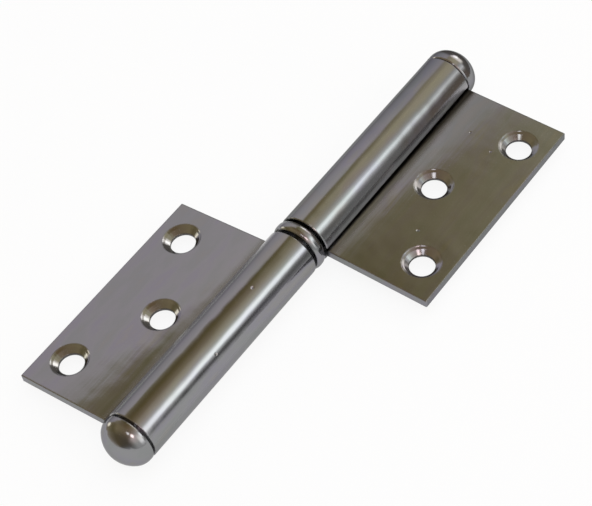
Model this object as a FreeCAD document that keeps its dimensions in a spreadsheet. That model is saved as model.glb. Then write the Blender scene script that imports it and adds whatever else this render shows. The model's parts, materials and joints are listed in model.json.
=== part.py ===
import FreeCAD, Part
import math
import os

import Sketcher

# Lift-off hinge, lying open with its countersunk faces up, in millimetres.
# Y runs along the pin towards the end of the lift-off half, X points across the hinge
# towards the lift-off leaf, and Z points up out of the countersunk faces.
# The origin is on the pin's axis, half way between the two knuckles.

# Driving dimensions. A length is measured on the flat leaf before it droops.
DIMENSIONS = {
    # Rolled leaves
    "knuckle_length": 48.1,
    "knuckle_gap": 3.8,
    "knuckle_radius": 5.35,
    "sheet_thickness": 1.8,
    "root_bend_radius": 0.6,
    "leaf_width": 27.6,
    "roll_end_gap": 0.4,
    "sheet_edge_chamfer": 0.15,
    "leaf_droop": 3.1,
    # Countersunk screw holes
    "hole_diameter": 5.0,
    "countersink_diameter": 7.65,
    "countersink_angle": 90.0,
    "end_hole_inset": 7.35,
    "end_hole_from_edge": 5.95,
    "middle_hole_from_edge": 14.45,
    # Pin and plug
    "pin_running_clearance": 0.05,
    "pin_tip_chamfer": 1.0,
    "pin_tip_room": 1.0,
    "plug_depth": 8.0,
    "plug_chamfer": 0.5,
    # Domed heads of the pin and the plug
    "pin_head_gap": 0.4,
    "plug_head_gap": 0.1,
    "head_neck_depth": 0.8,
    "head_chamfer_depth": 0.15,
    "head_chamfer_width": 0.25,
    "pin_rim_width": 0.65,
    "plug_rim_width": 1.2,
    "dome_height": 4.3,
    "dome_shoulder_radius": 3.4,
    # Bearing ring
    "ring_thickness": 2.35,
    "ring_standing_proud": 0.15,
    "ring_running_clearance": 0.1,
    "ring_shoulder_radius": 1.3,
    "ring_shoulder_depth": 0.4,
    "ring_float": 0.85,
}

# Sizes worked out from the driving dimensions
BORE_RADIUS = "Sizes.knuckle_radius - Sizes.sheet_thickness"
PIN_RADIUS = "Sizes.knuckle_radius - Sizes.sheet_thickness - Sizes.pin_running_clearance"
HALF_GAP = "Sizes.knuckle_gap / 2"
KNUCKLE_END = "Sizes.knuckle_gap / 2 + Sizes.knuckle_length"
LEAF_MIDDLE = "(Sizes.knuckle_gap + Sizes.knuckle_length) / 2"
PLUG_END = f"{KNUCKLE_END} - Sizes.plug_depth"
PIN_TIP = f"{PLUG_END} - Sizes.pin_tip_room"
END_HOLE_Y = "Sizes.knuckle_length / 2 - Sizes.end_hole_inset"
END_HOLE_X = "Sizes.leaf_width - Sizes.end_hole_from_edge"
MIDDLE_HOLE_X = "Sizes.leaf_width - Sizes.middle_hole_from_edge"
RING_BOTTOM = f"Sizes.ring_float - {HALF_GAP}"

# Edges and points that every sketch has
SKETCH_ORIGIN = (-1, 1)
SKETCH_X_AXIS, SKETCH_Y_AXIS = -1, -2

LENGTH_TOLERANCE = 1e-6

doc = FreeCAD.newDocument("LiftOffHinge")
sheet = doc.addObject("Spreadsheet::Sheet", "Sizes")
for row, (alias, size) in enumerate(DIMENSIONS.items(), start=1):
    sheet.set(f"A{row}", alias)
    sheet.set(f"B{row}", str(size))
    sheet.setAlias(f"B{row}", alias)
doc.recompute()


def number(expression):
    """The present value of an expression on the sheet's cells."""
    return float(sheet.evalExpression(expression))


def vector(x, y):
    return FreeCAD.Vector(x, y, 0)


def polar(radius, angle):
    return vector(radius * math.cos(angle), radius * math.sin(angle))


def arc(middle, radius, start, stop):
    circle = Part.Circle(middle, FreeCAD.Vector(0, 0, 1), radius)
    return Part.ArcOfCircle(circle, start, stop)


# Sketches


def new_body(label):
    body = doc.addObject("PartDesign::Body", label)
    body.Label = label
    return body


def new_sketch(body, name, role):
    """A sketch on one of the body's own origin planes."""
    plane = next(feature for feature in body.Origin.OriginFeatures if feature.Role == role)
    sketch = body.newObject("Sketcher::SketchObject", name)
    sketch.AttachmentSupport = [(plane, "")]
    sketch.MapMode = "FlatFace"
    return sketch


def join(sketch, first, second, kind="Coincident"):
    """Ties the ends of two edges that meet, and makes them run on smoothly if kind is Tangent."""
    pairs = [(one, other) for one in (1, 2) for other in (1, 2)]

    def distance(pair):
        start = sketch.getPoint(first, pair[0])
        return start.distanceToPoint(sketch.getPoint(second, pair[1]))

    one, other = min(pairs, key=distance)
    sketch.addConstraint(Sketcher.Constraint(kind, first, one, second, other))


def dimension(sketch, name, kind, places, expression):
    """A named dimension that follows the sheet."""
    index = sketch.addConstraint(Sketcher.Constraint(kind, *places, number(expression)))
    sketch.renameConstraint(index, name)
    sketch.setExpression(f"Constraints.{name}", expression)


def turned_outline(sketch, corners):
    """Straight edges through corners given as radius and height, both expressions on the sheet."""
    points = [vector(number(radius), number(height)) for radius, height in corners]
    edges = [sketch.addGeometry(Part.LineSegment(*ends)) for ends in zip(points, points[1:])]
    for first, second in zip(edges, edges[1:]):
        join(sketch, first, second)
    places = [(edge, 1) for edge in edges] + [(edges[-1], 2)]
    for index, (place, (radius, height)) in enumerate(zip(places, corners)):
        if radius == "0":
            sketch.addConstraint(Sketcher.Constraint("PointOnObject", *place, SKETCH_Y_AXIS))
        else:
            dimension(sketch, f"radius_{index}", "DistanceX", (*SKETCH_ORIGIN, *place), radius)
        dimension(sketch, f"height_{index}", "DistanceY", (*SKETCH_ORIGIN, *place), height)
    return edges


def revolve(body, name, sketch):
    turned = body.newObject("PartDesign::Revolution", name)
    turned.Profile = sketch
    turned.ReferenceAxis = (sketch, ["V_Axis"])
    turned.Angle = 360
    doc.recompute()
    return turned


def edge_names(shape, wanted):
    return [f"Edge{index}" for index, edge in enumerate(shape.Edges, start=1) if wanted(edge)]


def chamfer_edges(body, name, base, wanted, width):
    chamfer = body.newObject("PartDesign::Chamfer", name)
    chamfer.Base = (base, edge_names(base.Shape, wanted))
    chamfer.setExpression("Size", width)
    doc.recompute()
    return chamfer


# Rolled leaves


def rolled_section(sketch):
    """The end view of a leaf: one sheet of even thickness, rolled round the pin's axis.

    The flat leaf's front face lies in the plane of the axis. At its root the sheet bends
    back on a small radius, then runs round under the axis, over the top and down again, and
    its free end stops just above the leaf's front face.
    """
    outer = number("Sizes.knuckle_radius")
    sheet_thickness = number("Sizes.sheet_thickness")
    bend = number("Sizes.root_bend_radius")
    width = number("Sizes.leaf_width")
    bore = outer - sheet_thickness
    bend_depth = sheet_thickness + bend
    bend_x = math.sqrt((outer + bend) ** 2 - bend_depth**2)
    bend_centre = vector(bend_x, -bend_depth)
    root_angle = math.atan2(-bend_depth, bend_x)
    end_angle = math.asin(number("Sizes.roll_end_gap") / outer)
    centre = vector(0, 0)
    roll_stop = root_angle + 2 * math.pi
    bend_stop = root_angle + math.pi
    front, bend_front, bore_wall, free_end, outer_wall, bend_back, back, outer_edge = sketch.addGeometry([
        Part.LineSegment(vector(width, 0), vector(bend_x, 0)),
        arc(bend_centre, bend_depth, math.pi / 2, bend_stop),
        arc(centre, bore, end_angle, roll_stop),
        Part.LineSegment(polar(bore, end_angle), polar(outer, end_angle)),
        arc(centre, outer, end_angle, roll_stop),
        arc(bend_centre, bend, math.pi / 2, bend_stop),
        Part.LineSegment(vector(bend_x, -sheet_thickness), vector(width, -sheet_thickness)),
        Part.LineSegment(vector(width, -sheet_thickness), vector(width, 0)),
    ])
    join(sketch, front, bend_front, "Tangent")
    join(sketch, bend_front, bore_wall, "Tangent")
    join(sketch, bore_wall, free_end)
    join(sketch, free_end, outer_wall)
    join(sketch, outer_wall, bend_back, "Tangent")
    join(sketch, bend_back, back, "Tangent")
    join(sketch, back, outer_edge)
    join(sketch, outer_edge, front)
    for wall in (bore_wall, outer_wall):
        sketch.addConstraint(Sketcher.Constraint("Coincident", wall, 3, *SKETCH_ORIGIN))
    sketch.addConstraint(Sketcher.Constraint("Coincident", bend_front, 3, bend_back, 3))
    sketch.addConstraint(Sketcher.Constraint("PointOnObject", *SKETCH_ORIGIN, free_end))
    sketch.addConstraint(Sketcher.Constraint("PointOnObject", front, 1, SKETCH_X_AXIS))
    for level in (front, back):
        sketch.addConstraint(Sketcher.Constraint("Horizontal", level))
    sketch.addConstraint(Sketcher.Constraint("Vertical", outer_edge))
    dimension(sketch, "width", "DistanceX", (*SKETCH_ORIGIN, front, 1), "Sizes.leaf_width")
    dimension(sketch, "thickness", "DistanceY", (outer_edge, 1, outer_edge, 2), "Sizes.sheet_thickness")
    dimension(sketch, "outer_radius", "Radius", (outer_wall,), "Sizes.knuckle_radius")
    dimension(sketch, "bend_radius", "Radius", (bend_back,), "Sizes.root_bend_radius")
    dimension(sketch, "end_height", "DistanceY", (*SKETCH_ORIGIN, free_end, 2), "Sizes.roll_end_gap")


def rolled_leaf(label, placement):
    """A rolled leaf about its own middle, with its flat part towards +X and its front up."""
    body = new_body(label)
    section = new_sketch(body, f"{label}_section", "XZ_Plane")
    rolled_section(section)
    rolled = body.newObject("PartDesign::Pad", f"{label}_rolled")
    rolled.Profile = section
    rolled.SideType = "Symmetric"
    rolled.setExpression("Length", "Sizes.knuckle_length")
    doc.recompute()

    half_length = number("Sizes.knuckle_length") / 2
    width = number("Sizes.leaf_width")
    end_height = number("Sizes.roll_end_gap")

    def on_an_end(edge):
        middle = edge.CenterOfMass
        box = edge.BoundBox
        return box.YLength < LENGTH_TOLERANCE and abs(abs(middle.y) - half_length) < LENGTH_TOLERANCE

    def along_the_outer_edge(edge):
        return abs(edge.CenterOfMass.x - width) < LENGTH_TOLERANCE

    def along_the_free_end(edge):
        middle = edge.CenterOfMass
        outside = math.hypot(middle.x, middle.z) > number(BORE_RADIUS) + LENGTH_TOLERANCE
        return outside and abs(middle.z - end_height) < LENGTH_TOLERANCE

    def sharp(edge):
        return on_an_end(edge) or along_the_outer_edge(edge) or along_the_free_end(edge)

    chamfered = chamfer_edges(body, f"{label}_edges", rolled, sharp, "Sizes.sheet_edge_chamfer")

    centres = new_sketch(body, f"{label}_hole_centres", "XY_Plane")
    spots = [
        ("upper", END_HOLE_X, END_HOLE_Y),
        ("middle", MIDDLE_HOLE_X, None),
        ("lower", END_HOLE_X, f"-({END_HOLE_Y})"),
    ]
    for name, across, along in spots:
        middle = vector(number(across), number(along) if along else 0)
        circle = Part.Circle(middle, FreeCAD.Vector(0, 0, 1), number("Sizes.hole_diameter") / 2)
        spot = centres.addGeometry(circle)
        dimension(centres, f"{name}_diameter", "Diameter", (spot,), "Sizes.hole_diameter")
        dimension(centres, f"{name}_across", "DistanceX", (*SKETCH_ORIGIN, spot, 3), across)
        if along:
            dimension(centres, f"{name}_along", "DistanceY", (*SKETCH_ORIGIN, spot, 3), along)
        else:
            centres.addConstraint(Sketcher.Constraint("PointOnObject", spot, 3, SKETCH_X_AXIS))
    doc.recompute()
    holes = body.newObject("PartDesign::Hole", f"{label}_screw_holes")
    holes.Profile = centres
    doc.recompute()
    holes.ThreadType = "None"
    holes.DepthType = "ThroughAll"
    holes.HoleCutType = "Countersink"
    holes.HoleCutCustomValues = True
    holes.setExpression("Diameter", "Sizes.hole_diameter")
    holes.setExpression("HoleCutDiameter", "Sizes.countersink_diameter")
    holes.setExpression("HoleCutCountersinkAngle", "Sizes.countersink_angle")
    doc.recompute()
    if holes.Shape.Volume >= chamfered.Shape.Volume:
        raise RuntimeError(f"the screw holes of {label} cut nothing")
    body.Tip = holes
    body.setExpression("Placement", placement)
    return body


# Turned pieces


def head_on_neck(piece, seat, outwards):
    """Corners from the neck that stands on a knuckle's end to the head's rim, less its dome.

    piece is pin or plug, seat is the height of the knuckle's end, and outwards is + or -, the
    way the dome points. The neck keeps the rim off the knuckle by a narrow groove.
    """
    neck = "Sizes.knuckle_radius - Sizes.head_neck_depth"
    rim_start = f"{seat} {outwards} Sizes.{piece}_head_gap"
    return [
        (neck, seat),
        (neck, rim_start),
        ("Sizes.knuckle_radius - Sizes.head_chamfer_depth", rim_start),
        ("Sizes.knuckle_radius", f"{rim_start} {outwards} Sizes.head_chamfer_width"),
        ("Sizes.knuckle_radius", f"{rim_start} {outwards} Sizes.{piece}_rim_width"),
    ]


def close_with_dome(sketch, edges, foot_height, outwards):
    """Closes a turned outline by a dome of two arcs, a tight shoulder and a flatter crown."""
    side = 1 if outwards == "+" else -1
    foot = number(foot_height)
    apex_height = f"{foot_height} {outwards} Sizes.dome_height"
    outer = number("Sizes.knuckle_radius")
    rise = number("Sizes.dome_height")
    shoulder = number("Sizes.dome_shoulder_radius")
    crown = ((outer - shoulder) ** 2 + rise**2 - shoulder**2) / (2 * (rise - shoulder))
    shoulder_centre = vector(outer - shoulder, foot)
    crown_centre = vector(0, foot + side * (rise - crown))
    meeting = math.atan2(foot - crown_centre.y, shoulder_centre.x)
    shoulder_arc = sketch.addGeometry(arc(shoulder_centre, shoulder, *sorted((0, meeting))))
    crown_arc = sketch.addGeometry(arc(crown_centre, crown, *sorted((meeting, side * math.pi / 2))))
    apex = crown_centre + vector(0, side * crown)
    spine = sketch.addGeometry(Part.LineSegment(apex, sketch.getPoint(edges[0], 1)))
    join(sketch, edges[-1], shoulder_arc, "Tangent")
    join(sketch, shoulder_arc, crown_arc, "Tangent")
    join(sketch, crown_arc, spine)
    join(sketch, spine, edges[0])
    sketch.addConstraint(Sketcher.Constraint("PointOnObject", crown_arc, 3, SKETCH_Y_AXIS))
    sketch.addConstraint(Sketcher.Constraint("PointOnObject", spine, 1, SKETCH_Y_AXIS))
    dimension(sketch, "shoulder_radius", "Radius", (shoulder_arc,), "Sizes.dome_shoulder_radius")
    dimension(sketch, "apex_height", "DistanceY", (*SKETCH_ORIGIN, spine, 1), apex_height)


def turned_piece(label, shank, head, outwards):
    """A turned shank with a domed head, from the corners of both."""
    body = new_body(label)
    sketch = new_sketch(body, f"{label}_outline", "XY_Plane")
    edges = turned_outline(sketch, shank + head)
    foot_height = head[-1][1]
    close_with_dome(sketch, edges, foot_height, outwards)
    body.Tip = revolve(body, f"{label}_turned", sketch)
    return body


def hinge_pin():
    """The pin: tight in the fixed knuckle, free in the ring and in the lift-off knuckle."""
    seat = f"-({KNUCKLE_END})"
    shank = [
        ("0", PIN_TIP),
        (f"{PIN_RADIUS} - Sizes.pin_tip_chamfer", PIN_TIP),
        (PIN_RADIUS, f"{PIN_TIP} - Sizes.pin_tip_chamfer"),
        (PIN_RADIUS, f"-{HALF_GAP}"),
        (BORE_RADIUS, f"-{HALF_GAP}"),
        (BORE_RADIUS, seat),
    ]
    return turned_piece("hinge_pin", shank, head_on_neck("pin", seat, "-"), "-")


def end_plug():
    """The plug that closes the lift-off knuckle's far end."""
    shank = [
        ("0", PLUG_END),
        (f"{BORE_RADIUS} - Sizes.plug_chamfer", PLUG_END),
        (BORE_RADIUS, f"{PLUG_END} + Sizes.plug_chamfer"),
        (BORE_RADIUS, KNUCKLE_END),
    ]
    return turned_piece("end_plug", shank, head_on_neck("plug", KNUCKLE_END, "+"), "+")


def bearing_ring():
    """The loose ring on the pin between the knuckles, with rounded shoulders."""
    label = "bearing_ring"
    body = new_body(label)
    sketch = new_sketch(body, f"{label}_outline", "XY_Plane")
    inner = f"{PIN_RADIUS} + Sizes.ring_running_clearance"
    outer = "Sizes.knuckle_radius + Sizes.ring_standing_proud"
    rim = f"{outer} - Sizes.ring_shoulder_depth"
    top = f"{RING_BOTTOM} + Sizes.ring_thickness"
    corners = [(rim, RING_BOTTOM), (inner, RING_BOTTOM), (inner, top), (rim, top)]
    edges = turned_outline(sketch, corners)

    radius = number("Sizes.ring_shoulder_radius")
    turn = math.acos(1 - number("Sizes.ring_shoulder_depth") / radius)
    rise = radius * math.sin(turn)
    middle_x = number(outer) - radius
    low, high = number(RING_BOTTOM) + rise, number(top) - rise
    lower = sketch.addGeometry(arc(vector(middle_x, low), radius, -turn, 0))
    wall = sketch.addGeometry(Part.LineSegment(vector(number(outer), low), vector(number(outer), high)))
    upper = sketch.addGeometry(arc(vector(middle_x, high), radius, 0, turn))
    join(sketch, edges[0], lower)
    join(sketch, lower, wall, "Tangent")
    join(sketch, wall, upper, "Tangent")
    join(sketch, upper, edges[-1])
    sketch.addConstraint(Sketcher.Constraint("Vertical", wall))
    dimension(sketch, "outer_radius", "DistanceX", (*SKETCH_ORIGIN, wall, 1), outer)
    for name, shoulder in (("lower_shoulder", lower), ("upper_shoulder", upper)):
        dimension(sketch, name, "Radius", (shoulder,), "Sizes.ring_shoulder_radius")
    body.Tip = revolve(body, f"{label}_turned", sketch)
    return body


pieces = [
    rolled_leaf(
        "fixed_leaf",
        f"placement(vector(0; -({LEAF_MIDDLE}); 0); rotationy(-Sizes.leaf_droop) * rotationz(180))",
    ),
    rolled_leaf(
        "lift_off_leaf",
        f"placement(vector(0; {LEAF_MIDDLE}; 0); rotationy(Sizes.leaf_droop))",
    ),
    hinge_pin(),
    end_plug(),
    bearing_ring(),
]
doc.recompute()

for item in doc.Objects:
    if {"Invalid", "Error"} & set(item.State):
        raise RuntimeError(f"{item.Name} failed: {item.State}")
for piece in pieces:
    if piece.Shape.isNull() or not piece.Shape.isValid() or len(piece.Shape.Solids) != 1:
        raise RuntimeError(f"{piece.Label} is not one valid solid")

os.makedirs("parts", exist_ok=True)
for piece in pieces:
    piece.Shape.exportStep(f"parts/{piece.Label}.step")
    print(piece.Label, round(piece.Shape.Volume, 1), "mm3")
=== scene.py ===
import json
import math

import bpy
from mathutils import Euler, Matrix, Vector


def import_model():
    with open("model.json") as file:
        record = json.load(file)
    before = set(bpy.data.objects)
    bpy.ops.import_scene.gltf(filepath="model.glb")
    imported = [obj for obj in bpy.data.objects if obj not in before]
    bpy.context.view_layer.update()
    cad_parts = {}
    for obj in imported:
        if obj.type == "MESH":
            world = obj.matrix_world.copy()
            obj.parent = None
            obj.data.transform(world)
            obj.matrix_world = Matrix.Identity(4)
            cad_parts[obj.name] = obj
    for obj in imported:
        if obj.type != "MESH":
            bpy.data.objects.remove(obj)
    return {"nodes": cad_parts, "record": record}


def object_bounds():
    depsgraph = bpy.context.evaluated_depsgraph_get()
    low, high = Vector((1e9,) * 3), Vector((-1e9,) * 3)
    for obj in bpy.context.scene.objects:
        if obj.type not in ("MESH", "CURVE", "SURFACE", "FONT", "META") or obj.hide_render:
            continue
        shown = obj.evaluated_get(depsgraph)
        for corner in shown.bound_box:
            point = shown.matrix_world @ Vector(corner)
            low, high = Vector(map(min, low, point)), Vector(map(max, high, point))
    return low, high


# Lift-off hinge of polished, plated steel on a white sheet, in metres.
# Y runs along the pin towards the lift-off half, X towards that half's leaf and Z up.

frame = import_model()
cad_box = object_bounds()

WHITE = (1, 1, 1)
MM = 0.001
QUARTER_TURN = 90.0
FULL_TURN = 360.0

# Camera

CAMERA_PLACE = Vector((0.17111, -0.16644, 0.27754))
CAMERA_TURN = Euler([math.radians(angle) for angle in (39.853, 7.977, 36.551)])
CAMERA_LENS = 118.24
SENSOR_WIDTH = 36.0
NEAREST_SEEN = 0.01

# The white sheet that the hinge lies on. It is turned to run with the picture's sides.

SHEET_TURN = math.radians(30)
SHEET_RIGHT, SHEET_FAR = 0.072, 0.084
SHEET_LEFT, SHEET_NEAR = -0.30, -0.30
SHEET_COLOUR = (0.85, 0.85, 0.85)
SHEET_GLOW = 0.9

# The lamp for matt surfaces

LAMP_WIDTH = 0.8
LAMP_LEVEL = 0.85
LAMP_POWER = 2.5
LAMP_COLOUR = (0.80, 1.00, 1.25)

# Light tent. A band lists tones, as greys or colours, by their angle about the pin in degrees:
# 0 lies on the right, 90 overhead and 180 on the left.

TENT_RADIUS = 1.2
TENT_SEGMENTS, TENT_RINGS = 64, 32

FRONT = [
    (-20, 0.30), (0, 0.38), (24, (0.22, 0.20, 0.17)), (50, (0.19, 0.16, 0.12)),
    (140, (0.24, 0.19, 0.11)), (165, (0.36, 0.30, 0.22)), (180, (0.66, 0.58, 0.52)), (200, 0.65)]
OVERHEAD = [
    (-20, 0.55), (0, 0.74), (12, 0.80), (24, (0.88, 0.87, 0.84)), (38, (1.20, 1.05, 1.00)),
    (50, (1.25, 1.05, 0.98)), (60, (0.60, 0.46, 0.38)), (70, (0.42, 0.31, 0.23)),
    (90, (0.42, 0.32, 0.20)), (128, (0.50, 0.40, 0.23)), (146, (0.30, 0.24, 0.12)),
    (165, (0.46, 0.40, 0.24)), (182, (0.60, 0.52, 0.40)), (200, 0.85)]
CORNER = [
    (-20, 0.55), (-4, 0.55), (8, 1.45), (18, 2.45), (30, (2.45, 2.40, 2.30)),
    (42, (1.60, 1.50, 1.40)), (54, (0.90, 0.80, 0.72)), (66, (0.68, 0.54, 0.44)),
    (84, (0.42, 0.30, 0.17)), (98, (0.32, 0.22, 0.11)), (118, (0.34, 0.26, 0.16)),
    (140, (0.50, 0.43, 0.30))]
LONG_WINDOW = [
    (28, (1.95, 2.05, 2.10)), (32, (3.15, 3.30, 3.30)), (41, (3.15, 3.30, 3.25)),
    (47, (1.80, 1.90, 1.80)), (53, (1.12, 1.12, 1.00))]
NEAR_CORNER = [
    (-20, 1.0), (-3, 1.0), (2, 0.90), (5.5, 0.50), (9, 0.14), (14, 0.08), (18, 0.26), (24, 0.90),
    *LONG_WINDOW,
    (60, (1.02, 0.97, 0.80)), (72, (0.84, 0.76, 0.54)), (84, (0.52, 0.44, 0.27)),
    (96, (0.37, 0.30, 0.16)), (106, (0.26, 0.21, 0.08)), (114, (0.24, 0.19, 0.08)),
    (128, (0.37, 0.32, 0.18))]
NEAR_WALL = [
    (-20, 0.30), (-2, 0.45), (6, 0.27), (13, 0.18), (19, 0.38), (24, 0.95),
    *LONG_WINDOW,
    (60, (1.00, 0.95, 0.78)), (72, (0.77, 0.69, 0.50)), (84, (0.52, 0.44, 0.28)),
    (96, (0.39, 0.32, 0.18)), (106, (0.28, 0.23, 0.10)), (114, (0.28, 0.23, 0.12)),
    (128, (0.37, 0.32, 0.21))]
MIDDLE_WALL = [
    (-20, 0.35), (12, 0.40), (19, 0.52), (25, 0.85), (30, 1.30), (35, (2.05, 2.20, 2.20)),
    (39, (2.80, 3.00, 3.00)), (45, (2.70, 2.90, 2.85)), (51, (1.60, 1.72, 1.70)),
    (58, (1.05, 1.05, 1.02)), (66, (0.78, 0.74, 0.68)), (74, (0.80, 0.71, 0.56)),
    (92, (0.84, 0.75, 0.51)), (98, (0.72, 0.65, 0.45)), (104, (0.54, 0.48, 0.30)),
    (112, (0.43, 0.37, 0.21))]
FAR_WALL = [
    (-20, (0.36, 0.30, 0.24)), (-4, (0.30, 0.24, 0.19)), (19, (0.26, 0.21, 0.17)),
    (25, (0.36, 0.33, 0.30)), (31, (0.66, 0.62, 0.58)), (37, 1.15), (42, 1.60), (48, 1.15),
    (54, 0.84), (60, (0.78, 0.74, 0.66)), (68, (0.88, 0.80, 0.60)), (92, (0.88, 0.80, 0.53)),
    (102, (0.72, 0.66, 0.44)), (112, (0.60, 0.55, 0.42))]
NEAR_CLOTH = [
    (100, (0.86, 0.80, 0.76)), (126, (0.92, 0.86, 0.87)), (150, (0.80, 0.75, 0.80)),
    (165, (0.68, 0.64, 0.69)), (180, (0.44, 0.42, 0.46)), (200, 0.44)]
MIDDLE_CLOTH = [
    (100, (0.86, 0.80, 0.76)), (126, (0.90, 0.84, 0.85)), (150, (0.80, 0.76, 0.81)),
    (165, (0.75, 0.71, 0.76)), (180, (0.70, 0.67, 0.71)), (200, 0.66)]
FAR_CLOTH = [
    (100, (0.68, 0.64, 0.62)), (126, (0.73, 0.70, 0.70)), (150, (0.61, 0.61, 0.64)),
    (165, (0.57, 0.57, 0.61)), (180, (0.54, 0.53, 0.57)), (200, 0.50)]

# Each next band takes over between two places along the pin, from -1 at the near end of the
# tent to 1 at its far end.
BOARD_BANDS = [
    (-0.90, -0.40, OVERHEAD), (-0.20, 0.15, CORNER), (0.23, 0.34, NEAR_CORNER),
    (0.345, 0.41, NEAR_WALL), (0.42, 0.50, MIDDLE_WALL), (0.52, 0.57, FAR_WALL)]
CLOTH_BANDS = [(0.42, 0.47, MIDDLE_CLOTH), (0.49, 0.58, FAR_CLOTH)]

# The slanting edge between the board and the cloth: places along the pin and their angles.
BOARD_EDGE = [
    (-0.3, 195), (0.1, 148), (0.3, 135), (0.36, 130), (0.385, 126), (0.4, 122), (0.44, 116),
    (0.48, 117.5)]
BOARD_EDGE_SOFTNESS = 4.5

# The far end of the tent and its window. A fade starts at its first value and is full at its
# second, which may be the lower one.
FAR_END_TONE = (0.24, 0.22, 0.20)
FAR_END_FADE = (0.62, 0.78)
HIGH_WINDOW_TONE = (2.25, 2.10, 1.95)
HIGH_WINDOW_FADES_ALONG = [(0.64, 0.74), (0.94, 0.87)]
HIGH_WINDOW_FADES_ABOUT = [(46, 62), (122, 108)]

# Small round lights: direction, size in degrees and tone. The first two give the heads their
# highlights, the others the light spots in the countersinks.
SPOTS = [
    ((0.53, -0.27, 0.80), 9.5, (5.5, 4.5, 4.4)), ((-0.97, -0.14, 0.20), 9.0, (2.9, 2.7, 2.2)),
    ((0.23, -0.35, 0.91), 6.5, (3.3, 3.2, 3.2)), ((-0.08, 0.83, 0.54), 9.0, (4.2, 4.1, 4.0))]
SPOT_CORE = 0.5

# Plating: its reflectance seen straight on, and how much of it is left at a low angle. A noise
# is given by its scale and its detail.

PLATING_SHIMMER = [
    (0.30, (0.262, 0.256, 0.246)), (0.42, (0.250, 0.256, 0.256)), (0.52, (0.262, 0.262, 0.268)),
    (0.62, (0.256, 0.250, 0.276)), (0.72, (0.268, 0.262, 0.256))]
SHIMMER_STRETCH = (1, 0.3, 1)
SHIMMER_NOISE = (260.0, 3.0)
FIXED_LOW_ANGLE = 0.65
# The lift-off half keeps less at a low angle, which paints shade into what its knuckle and the plug
# mirror.
LIFT_OFF_SHADED_LOW_ANGLE = 0.42

POLISHED = 0.12
LESS_POLISHED = 0.16
HAZE_NOISE = (60.0, 3.0)
HAZE_RANGE = (0.3, 0.7)
HAZE_CHANGE = 0.15
EDGE_SOFTNESS = 0.0003
EDGE_SAMPLES = 4

# Unevenness of the polished faces: the heights and noises of long streaks, waves and a grain.

STREAK_HEIGHT, STREAK_NOISE = 0.00002, (700.0, 2.0)
STREAK_STRETCH = (1, 0.08, 1)
WAVE_HEIGHT, WAVE_NOISE = 0.00005, (190.0, 1.0)
GRAIN_HEIGHT, GRAIN_NOISE = 0.000002, (2600.0, 1.0)

# Small pits, with their middles and radii, and their depth as a share of the radius.
PITS = [
    ((0.00408, -0.02991, 0.00346), 0.00035), ((0.00158, -0.01532, 0.00511), 0.0004),
    ((0.01684, 0.01503, -0.00091), 0.0004), ((0.01787, 0.03852, -0.00097), 0.0003),
    ((0.01190, 0.04061, -0.00064), 0.0003)]
PIT_DEPTH = 0.3

# Screw holes and the droop of the leaves, from the lift-off leaf's mounts. The fixed leaf's
# holes are the same.

MOUNTS = {mount["name"]: mount for mount in frame["record"]["mounts"]}
END_SCREWS = MOUNTS["lift_off_leaf_end_screws"]
MIDDLE_SCREW = MOUNTS["lift_off_leaf_middle_screw"]
DROOP_SIN, DROOP_COS = END_SCREWS["axis"][0], END_SCREWS["axis"][2]
END_SCREW_STEP = END_SCREWS["dims"]["pcd_mm"] / 2 * MM
HOLE_RADIUS = END_SCREWS["dims"]["hole_r_mm"] * MM

# The walls of the holes are darkened with painted shade. The margin takes in the corners of their
# facets.
HOLE_MARGIN = 0.00004
HOLE_WALL_SHADE_COLOUR = (0.11, 0.105, 0.10)

# How much less steep the countersinks shine than they are, and how much less again in a ring
# near their rims. Nothing is changed below the depth limit, so the leaf's back stays plain.
CONE_RADIUS = 0.00382
CONE_DEPTH_LIMIT = 0.0015
CONE_FLATTENING = 0.35
RIM_START = 0.00015
RIM_WIDTH = 0.00035
RIM_FLATTENING = 0.2

# The dip of a leaf beside its root, which the knuckle doesn't share. A pair holds the fixed
# half's value and the lift-off half's. Slope and width grow with the way along the leaf.

ROOT = 0.0062
DIP_SLOPE = (math.radians(7.8), math.radians(3.5))
DIP_SLOPE_GROWTH = (math.radians(60), math.radians(135))
DIP_GREATEST_SLOPE = (math.radians(15), math.radians(7.2))
DIP_WIDTH = (0.0035, 0.0034)
DIP_WIDTH_GROWTH = (0.05, 0.11)
DIP_DROOP = (math.radians(5), math.radians(2))

# Painted shade: a dark band painted in the corner under the knuckle, which reaches further towards
# the hinge's end.
SEAM_SHADE_COLOUR = (0.05, 0.047, 0.045)
SEAM_SHADE_START = 0.0050
SEAM_SHADE_REACH = 0.0054
SEAM_SHADE_REACH_GROWTH = 0.027
SEAM_SHADE_FADE = (0.0003, -0.0005)

# The knuckle above the leaf's face. Its flank grows dull, and lighter by a painted sheen, between
# two distances from the pin, each of them a pair as above. The root beside it is dull too.
FACE_LEVEL = 0.0005
FLANK_DULL = [(0.0023, 0.0047), (0.0034, 0.0051)]
FLANK_SHEEN = [(0.0031, 0.0049), (0.0036, 0.0052)]
FLANK_SHEEN_COLOUR = (0.45, 0.44, 0.44)
FLANK_SHEEN_SHARE = 0.45
ROOT_DULL = (0.0080, 0.0066)
DULL_ROUGHNESS = 0.20


# Node graphs


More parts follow.
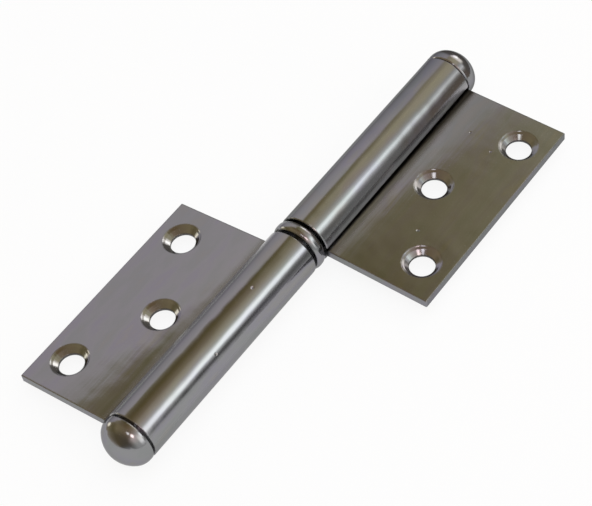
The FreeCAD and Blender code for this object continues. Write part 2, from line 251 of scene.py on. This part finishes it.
class Graph:
    """Adds nodes to a material's or the world's node tree and links them."""

    def __init__(self, tree):
        self.nodes = tree.nodes
        self.links = tree.links
        self.nodes.clear()

    def connect(self, socket, value):
        """Links an input to another socket or gives it a value."""
        if isinstance(value, bpy.types.NodeSocket):
            self.links.new(value, socket)
        else:
            socket.default_value = value

    def add(self, kind, inputs=None, **settings):
        """The outputs of a new node with these inputs and settings."""
        node = self.nodes.new(kind)
        for name, setting in settings.items():
            setattr(node, name, setting)
        for name, value in (inputs or {}).items():
            self.connect(node.inputs[name], value)
        return node.outputs

    def math(self, operation, *values):
        return self.add("ShaderNodeMath", dict(enumerate(values)), operation=operation)[0]

    def fold(self, operation, values):
        """All values joined by one operation, such as their sum."""
        result = values[0]
        for value in values[1:]:
            result = self.math(operation, result, value)
        return result

    def rise(self, value, low, high, top=1.0, interpolation="LINEAR"):
        """0 up to low and top from high, or the other way round where low is the higher one."""
        inputs = {"Value": value, "From Min": low, "From Max": high, "To Max": top}
        return self.add("ShaderNodeMapRange", inputs, interpolation_type=interpolation)[0]

    def ease(self, value, low, high, top=1.0):
        """A rise that starts and ends smoothly."""
        return self.rise(value, low, high, top, "SMOOTHSTEP")

    def noise(self, place, scale, detail):
        inputs = {"Vector": place, "Scale": scale, "Detail": detail}
        return self.add("ShaderNodeTexNoise", inputs)["Fac"]

    def stretched(self, place, scale):
        return self.add("ShaderNodeMapping", {"Vector": place, "Scale": scale})[0]

    def distance(self, place, point):
        inputs = {0: place, 1: point}
        return self.add("ShaderNodeVectorMath", inputs, operation="DISTANCE")["Value"]

    def ramp(self, factor, stops):
        """A colour ramp with stops given as place and grey or colour."""
        node = self.nodes.new("ShaderNodeValToRGB")
        self.connect(node.inputs["Fac"], factor)
        elements = node.color_ramp.elements
        while len(elements) < len(stops):
            elements.new(0.5)
        for element, (place, tone) in zip(elements, stops):
            element.position = place
            colour = (tone, tone, tone) if isinstance(tone, (int, float)) else tone
            element.color = (*colour, 1)
        return node.outputs["Color"]

    def mix(self, factor, first, second):
        """A blend of two colours. The node has inputs 6 and 7 and output 2 for colours."""
        inputs = {0: factor, 6: first, 7: second}
        return self.add("ShaderNodeMix", inputs, data_type="RGBA")[2]


def new_material(name):
    material = bpy.data.materials.new(name)
    material.use_nodes = True
    return material, Graph(material.node_tree)


# Studio


def mesh_object(name, vertices, faces):
    mesh = bpy.data.meshes.new(name)
    mesh.from_pydata(vertices, [], faces)
    item = bpy.data.objects.new(name, mesh)
    bpy.context.scene.collection.objects.link(item)
    return item


def floor():
    """A white sheet under the ring, which is the lowest point of the hinge."""
    level = cad_box[0][2]
    sides = [
        (SHEET_LEFT, SHEET_NEAR), (SHEET_RIGHT, SHEET_NEAR),
        (SHEET_RIGHT, SHEET_FAR), (SHEET_LEFT, SHEET_FAR)]
    cos, sin = math.cos(SHEET_TURN), math.sin(SHEET_TURN)
    corners = [(x * cos - y * sin, x * sin + y * cos, level) for x, y in sides]
    sheet = mesh_object("white_sheet", corners, [(0, 1, 2, 3)])
    material, graph = new_material("sheet_white")
    rays = graph.add("ShaderNodeLightPath")
    seen = graph.fold("MAXIMUM", [
        rays["Is Camera Ray"], rays["Is Glossy Ray"], rays["Is Transmission Ray"]])
    matt = graph.add("ShaderNodeBsdfDiffuse", {"Color": (*SHEET_COLOUR, 1)})[0]
    glow = graph.add("ShaderNodeEmission", {"Color": (*WHITE, 1), "Strength": 1.0})[0]
    share = graph.math("MULTIPLY", seen, SHEET_GLOW)
    surface = graph.add("ShaderNodeMixShader", {0: share, 1: matt, 2: glow})[0]
    graph.add("ShaderNodeOutputMaterial", {"Surface": surface})
    sheet.data.materials.append(material)


def tent():
    """A round light tent that the camera doesn't see, for the metal to mirror.

    A brown board hangs overhead, grey cloth hangs on the left, and a long bright window lies
    low on the right above a dark gap. A second window lies high behind the far end.
    """
    bpy.ops.mesh.primitive_uv_sphere_add(
        segments=TENT_SEGMENTS, ring_count=TENT_RINGS, radius=TENT_RADIUS)
    cloth = bpy.context.object
    cloth.name = "light_tent"
    cloth.visible_camera = False
    cloth.visible_shadow = False
    cloth.data.shade_smooth()
    material, graph = new_material("tent_cloth")
    glow = graph.add("ShaderNodeEmission", {"Color": tent_tones(graph), "Strength": 1.0})[0]
    graph.add("ShaderNodeOutputMaterial", {"Surface": glow})
    material.cycles.emission_sampling = "NONE"
    cloth.data.materials.append(material)


def from_below(degrees):
    """An angle counted from straight below, so that the ramps run on over both sides."""
    return degrees + QUARTER_TURN


def tent_tones(graph):
    """The tones of the tent, which change with the angle about the pin and along the pin."""
    place = graph.add("ShaderNodeTexCoord")["Object"]
    way = graph.add("ShaderNodeVectorMath", {0: place}, operation="NORMALIZE")[0]
    axes = graph.add("ShaderNodeSeparateXYZ", {0: way})
    along = axes["Y"]
    degrees = graph.math("DEGREES", graph.math("ARCTAN2", axes["Z"], axes["X"]))
    angle = graph.math("FLOORED_MODULO", graph.math("ADD", degrees, QUARTER_TURN), FULL_TURN)
    share_of_turn = graph.math("DIVIDE", angle, FULL_TURN)

    def band(stops):
        stops = [(from_below(degree) / FULL_TURN, tone) for degree, tone in stops]
        return graph.ramp(share_of_turn, stops)

    def blend(first, others):
        """The first band's tones, with the other bands taking over along the pin."""
        tones = band(first)
        for start, end, stops in others:
            tones = graph.mix(graph.ease(along, start, end), tones, band(stops))
        return tones

    # The ramp of the board's edge runs over the whole tent, so that -1 to 1 becomes 0 to 1.
    stops = [((place + 1) / 2, from_below(degree) / FULL_TURN) for place, degree in BOARD_EDGE]
    edge = graph.ramp(graph.math("MULTIPLY_ADD", along, 0.5, 0.5), stops)
    past_edge = graph.math("SUBTRACT", angle, graph.math("MULTIPLY", edge, FULL_TURN))
    cloth_share = graph.ease(past_edge, -BOARD_EDGE_SOFTNESS, BOARD_EDGE_SOFTNESS)
    tones = graph.mix(cloth_share, blend(FRONT, BOARD_BANDS), blend(NEAR_CLOTH, CLOTH_BANDS))

    tones = graph.mix(graph.ease(along, *FAR_END_FADE), tones, (*FAR_END_TONE, 1))
    fades = [graph.ease(along, *fade) for fade in HIGH_WINDOW_FADES_ALONG]
    fades += [graph.ease(angle, *map(from_below, fade)) for fade in HIGH_WINDOW_FADES_ABOUT]
    tones = graph.mix(graph.fold("MULTIPLY", fades), tones, (*HIGH_WINDOW_TONE, 1))

    for direction, size, tone in SPOTS:
        tones = graph.mix(spot_shape(graph, way, direction, size), tones, (*tone, 1))
    return tones


def spot_shape(graph, way, direction, size):
    """1 in the core of a round spot in a direction and 0 outside the spot."""
    inputs = {0: way, 1: tuple(Vector(direction).normalized())}
    near = graph.add("ShaderNodeVectorMath", inputs, operation="DOT_PRODUCT")["Value"]
    return graph.ease(near, math.cos(math.radians(size)), math.cos(math.radians(size * SPOT_CORE)))


def matt_lamp():
    """A large soft lamp overhead that lights matt surfaces to a plain level."""
    data = bpy.data.lights.new("matt_lamp", "AREA")
    data.shape = "DISK"
    data.size = LAMP_WIDTH
    data.energy = LAMP_POWER
    data.color = LAMP_COLOUR
    lamp = bpy.data.objects.new("matt_lamp", data)
    lamp.location = (0, 0, LAMP_LEVEL)
    lamp.visible_glossy = False
    bpy.context.scene.collection.objects.link(lamp)


def camera():
    data = bpy.data.cameras.new("photo_camera")
    data.lens = CAMERA_LENS
    data.sensor_width = SENSOR_WIDTH
    data.clip_start = NEAREST_SEEN
    view = bpy.data.objects.new("photo_camera", data)
    view.location = CAMERA_PLACE
    view.rotation_euler = CAMERA_TURN
    bpy.context.scene.collection.objects.link(view)
    bpy.context.scene.camera = view


def world():
    surroundings = bpy.data.worlds.new("white_room")
    surroundings.use_nodes = True
    graph = Graph(surroundings.node_tree)
    light = graph.add("ShaderNodeBackground", {"Color": (*WHITE, 1), "Strength": 1.0})[0]
    graph.add("ShaderNodeOutputWorld", {"Surface": light})
    bpy.context.scene.world = surroundings


# Plating


def plated_steel(name, roughness, low_angle, leaf=False):
    """Polished steel under a bright plating, which shimmers faintly yellow, green and violet."""
    material, graph = new_material(name)
    place = graph.add("ShaderNodeTexCoord")["Object"]
    shimmer = graph.noise(graph.stretched(place, SHIMMER_STRETCH), *SHIMMER_NOISE)
    colour = graph.ramp(shimmer, PLATING_SHIMMER)
    haze = graph.noise(place, *HAZE_NOISE)
    rough = graph.add("ShaderNodeMapRange", {
        "Value": haze, "From Min": HAZE_RANGE[0], "From Max": HAZE_RANGE[1],
        "To Min": roughness * (1 - HAZE_CHANGE), "To Max": roughness * (1 + HAZE_CHANGE)})[0]
    heights = unevenness(graph, place) + pits(graph, place)
    edge_tint = (low_angle, low_angle, low_angle, 1)
    if leaf:
        colour, rough, leaf_height, edge_tint = leaf_surface(graph, place, colour, rough, edge_tint)
        heights.append(leaf_height)
    softened = graph.add("ShaderNodeBevel", {"Radius": EDGE_SOFTNESS}, samples=EDGE_SAMPLES)[0]
    height = graph.fold("ADD", heights)
    bump = graph.add("ShaderNodeBump", {"Height": height, "Distance": 1.0, "Normal": softened})[0]
    shader = graph.add("ShaderNodeBsdfPrincipled", {
        "Base Color": colour, "Metallic": 1.0, "Roughness": rough, "Normal": bump,
        "Specular Tint": edge_tint})[0]
    graph.add("ShaderNodeOutputMaterial", {"Surface": shader})
    return material


def unevenness(graph, place):
    """Heights of the drawn sheet's long low streaks, its broad waves and a fine grain."""
    streaks = graph.noise(graph.stretched(place, STREAK_STRETCH), *STREAK_NOISE)
    waves = graph.noise(place, *WAVE_NOISE)
    grain = graph.noise(place, *GRAIN_NOISE)
    return [
        graph.math("MULTIPLY", noise, height)
        for noise, height in ((streaks, STREAK_HEIGHT), (waves, WAVE_HEIGHT), (grain, GRAIN_HEIGHT))]


def pits(graph, place):
    """Heights of the small pits on the polished faces."""
    return [
        graph.ease(graph.distance(place, middle), radius, 0.0, -PIT_DEPTH * radius)
        for middle, radius in PITS]


# Leaves and their knuckles


class Leaf:
    """Where a point lies on a leaf and its knuckle, told alike on both halves.

    across runs from the pin towards the leaf, along from the hinge's middle towards its end,
    and up out of the leaf's face. outwards and height are across and up on the drooping leaf.
    """

    def __init__(self, graph, place):
        axes = graph.add("ShaderNodeSeparateXYZ", {0: place})
        self.graph = graph
        self.across = graph.math("MULTIPLY", axes["X"], graph.math("SIGN", axes["Y"]))
        self.along = graph.math("ABSOLUTE", axes["Y"])
        self.up = axes["Z"]
        self.on_fixed_half = graph.math("LESS_THAN", axes["Y"], 0.0)
        self.outwards = graph.math(
            "SUBTRACT", graph.math("MULTIPLY", self.across, DROOP_COS),
            graph.math("MULTIPLY", self.up, DROOP_SIN))
        self.height = graph.math(
            "ADD", graph.math("MULTIPLY", self.across, DROOP_SIN),
            graph.math("MULTIPLY", self.up, DROOP_COS))

    def of_half(self, pair):
        """The pair's first value on the fixed half and its second on the lift-off half."""
        on_fixed, on_lift_off = pair
        difference = on_fixed - on_lift_off
        return self.graph.math("MULTIPLY_ADD", self.on_fixed_half, difference, on_lift_off)

    def growing(self, start, growth):
        """A pair's value that grows along the leaf, by another pair's value in each metre."""
        return self.graph.math("MULTIPLY_ADD", self.along, self.of_half(growth), self.of_half(start))


def hole_centres():
    """Where the screw holes lie, as outwards and along."""

    def outwards(mount):
        x, _, z = mount["pos_m"]
        return x * DROOP_COS - z * DROOP_SIN

    middle_along = END_SCREWS["pos_m"][1]
    return [
        (outwards(END_SCREWS), middle_along - END_SCREW_STEP),
        (outwards(MIDDLE_SCREW), MIDDLE_SCREW["pos_m"][1]),
        (outwards(END_SCREWS), middle_along + END_SCREW_STEP)]


def leaf_surface(graph, place, colour, rough, edge_tint):
    """A leaf's colour, roughness, height and edge tint, from those of the bare plating."""
    leaf = Leaf(graph, place)
    in_plane = graph.add("ShaderNodeCombineXYZ", {"X": leaf.outwards, "Y": leaf.along})[0]
    distances = [graph.distance(in_plane, (*centre, 0)) for centre in hole_centres()]
    from_hole = graph.fold("MINIMUM", distances)
    height = graph.math("ADD", dip_height(leaf), countersink_height(leaf, from_hole))

    # Painted shade on the walls of the screw holes.
    hole_wall_shade = graph.math("LESS_THAN", from_hole, HOLE_RADIUS + HOLE_MARGIN)
    colour = graph.mix(hole_wall_shade, colour, (*HOLE_WALL_SHADE_COLOUR, 1))
    # Painted shade in the corner under the knuckle.
    colour = graph.mix(seam_shade(leaf), colour, (*SEAM_SHADE_COLOUR, 1))

    dull, light = flank(leaf)
    rough = graph.math("MULTIPLY_ADD", dull, DULL_ROUGHNESS, rough)
    # Painted sheen: the flank's colour is painted lighter and its edge tint whiter.
    flank_sheen_share = graph.math("MULTIPLY", light, FLANK_SHEEN_SHARE)
    colour = graph.mix(flank_sheen_share, colour, (*FLANK_SHEEN_COLOUR, 1))
    edge_tint = graph.mix(light, edge_tint, (*WHITE, 1))
    return colour, rough, height, edge_tint


def countersink_height(leaf, from_hole):
    """Heights that let the countersinks shine like flatter cones with round rims."""
    graph = leaf.graph
    inwards = graph.math("SUBTRACT", CONE_RADIUS, graph.math("MAXIMUM", from_hole, HOLE_RADIUS))
    height = graph.math("MULTIPLY", graph.math("MAXIMUM", inwards, 0.0), CONE_FLATTENING)
    past_rim = graph.math("MAXIMUM", graph.math("SUBTRACT", inwards, RIM_START), 0.0)
    in_rim = graph.math("MINIMUM", past_rim, RIM_WIDTH)
    height = graph.math("MULTIPLY_ADD", in_rim, RIM_FLATTENING, height)
    above_limit = graph.math("GREATER_THAN", leaf.height, -CONE_DEPTH_LIMIT)
    return graph.math("MULTIPLY", height, above_limit)


def dip_height(leaf):
    """Heights of the dip beside the root, which is steepest and widest at the hinge's end.

    Its slope stays at its greatest over a first stretch and then dies away. The height is level
    up to the root, so that the knuckle keeps its round.
    """
    graph = leaf.graph
    from_root = graph.math("MAXIMUM", graph.math("SUBTRACT", leaf.across, ROOT), 0.0)
    slope = leaf.growing(DIP_SLOPE, DIP_SLOPE_GROWTH)
    width = leaf.growing(DIP_WIDTH, DIP_WIDTH_GROWTH)
    greatest = graph.math("MINIMUM", slope, leaf.of_half(DIP_GREATEST_SLOPE))

    surplus = graph.math("DIVIDE", slope, greatest)
    stretch = graph.math("MULTIPLY", width, graph.math("LOGARITHM", surplus, math.e))
    first = graph.math("MULTIPLY", greatest, graph.math("MINIMUM", from_root, stretch))
    past = graph.math("MAXIMUM", graph.math("SUBTRACT", from_root, stretch), 0.0)
    widths = graph.math("DIVIDE", past, width)
    fall = graph.math("EXPONENT", graph.math("MULTIPLY", widths, -1.0))
    rest = graph.math("MULTIPLY", greatest, width)
    rest = graph.math("MULTIPLY", rest, graph.math("SUBTRACT", 1.0, fall))
    droop = graph.math("MULTIPLY", from_root, leaf.of_half(DIP_DROOP))
    return graph.math("SUBTRACT", graph.math("ADD", first, rest), droop)


def seam_shade(leaf):
    """How much painted shade darkens the corner under the knuckle."""
    graph = leaf.graph
    edge = graph.math("MULTIPLY_ADD", leaf.along, SEAM_SHADE_REACH_GROWTH, SEAM_SHADE_REACH)
    shaded = graph.rise(graph.math("SUBTRACT", leaf.across, edge), *SEAM_SHADE_FADE)
    past_start = graph.math("GREATER_THAN", leaf.across, SEAM_SHADE_START)
    under_knuckle = graph.math("LESS_THAN", leaf.up, FACE_LEVEL)
    return graph.math("MULTIPLY", shaded, graph.math("MULTIPLY", past_start, under_knuckle))


def flank(leaf):
    """How dull the knuckle's flank and the root are, and how strong the flank's painted sheen is."""
    graph = leaf.graph
    on_knuckle = graph.math("GREATER_THAN", leaf.up, FACE_LEVEL)
    dull_flank = graph.rise(leaf.across, *map(leaf.of_half, FLANK_DULL))
    dull = graph.mix(on_knuckle, graph.rise(leaf.across, *ROOT_DULL), dull_flank)
    # How much painted sheen the flank gets.
    light = graph.rise(leaf.across, *map(leaf.of_half, FLANK_SHEEN))
    return dull, graph.math("MULTIPLY", light, on_knuckle)


def dress(node, material):
    mesh = frame["nodes"][node].data
    mesh.materials.clear()
    mesh.materials.append(material)


floor()
tent()
matt_lamp()
camera()
world()

dress("fixed_leaf", plated_steel("fixed_leaf_plating", POLISHED, FIXED_LOW_ANGLE, leaf=True))
dress("hinge_pin", plated_steel("pin_plating", POLISHED, FIXED_LOW_ANGLE))
dress("bearing_ring", plated_steel("ring_plating", LESS_POLISHED, FIXED_LOW_ANGLE))
dress("lift_off_leaf", plated_steel("lift_off_leaf_plating", POLISHED, LIFT_OFF_SHADED_LOW_ANGLE, leaf=True))
dress("end_plug", plated_steel("plug_plating", POLISHED, LIFT_OFF_SHADED_LOW_ANGLE))

bpy.context.scene.view_settings.view_transform = "Standard"
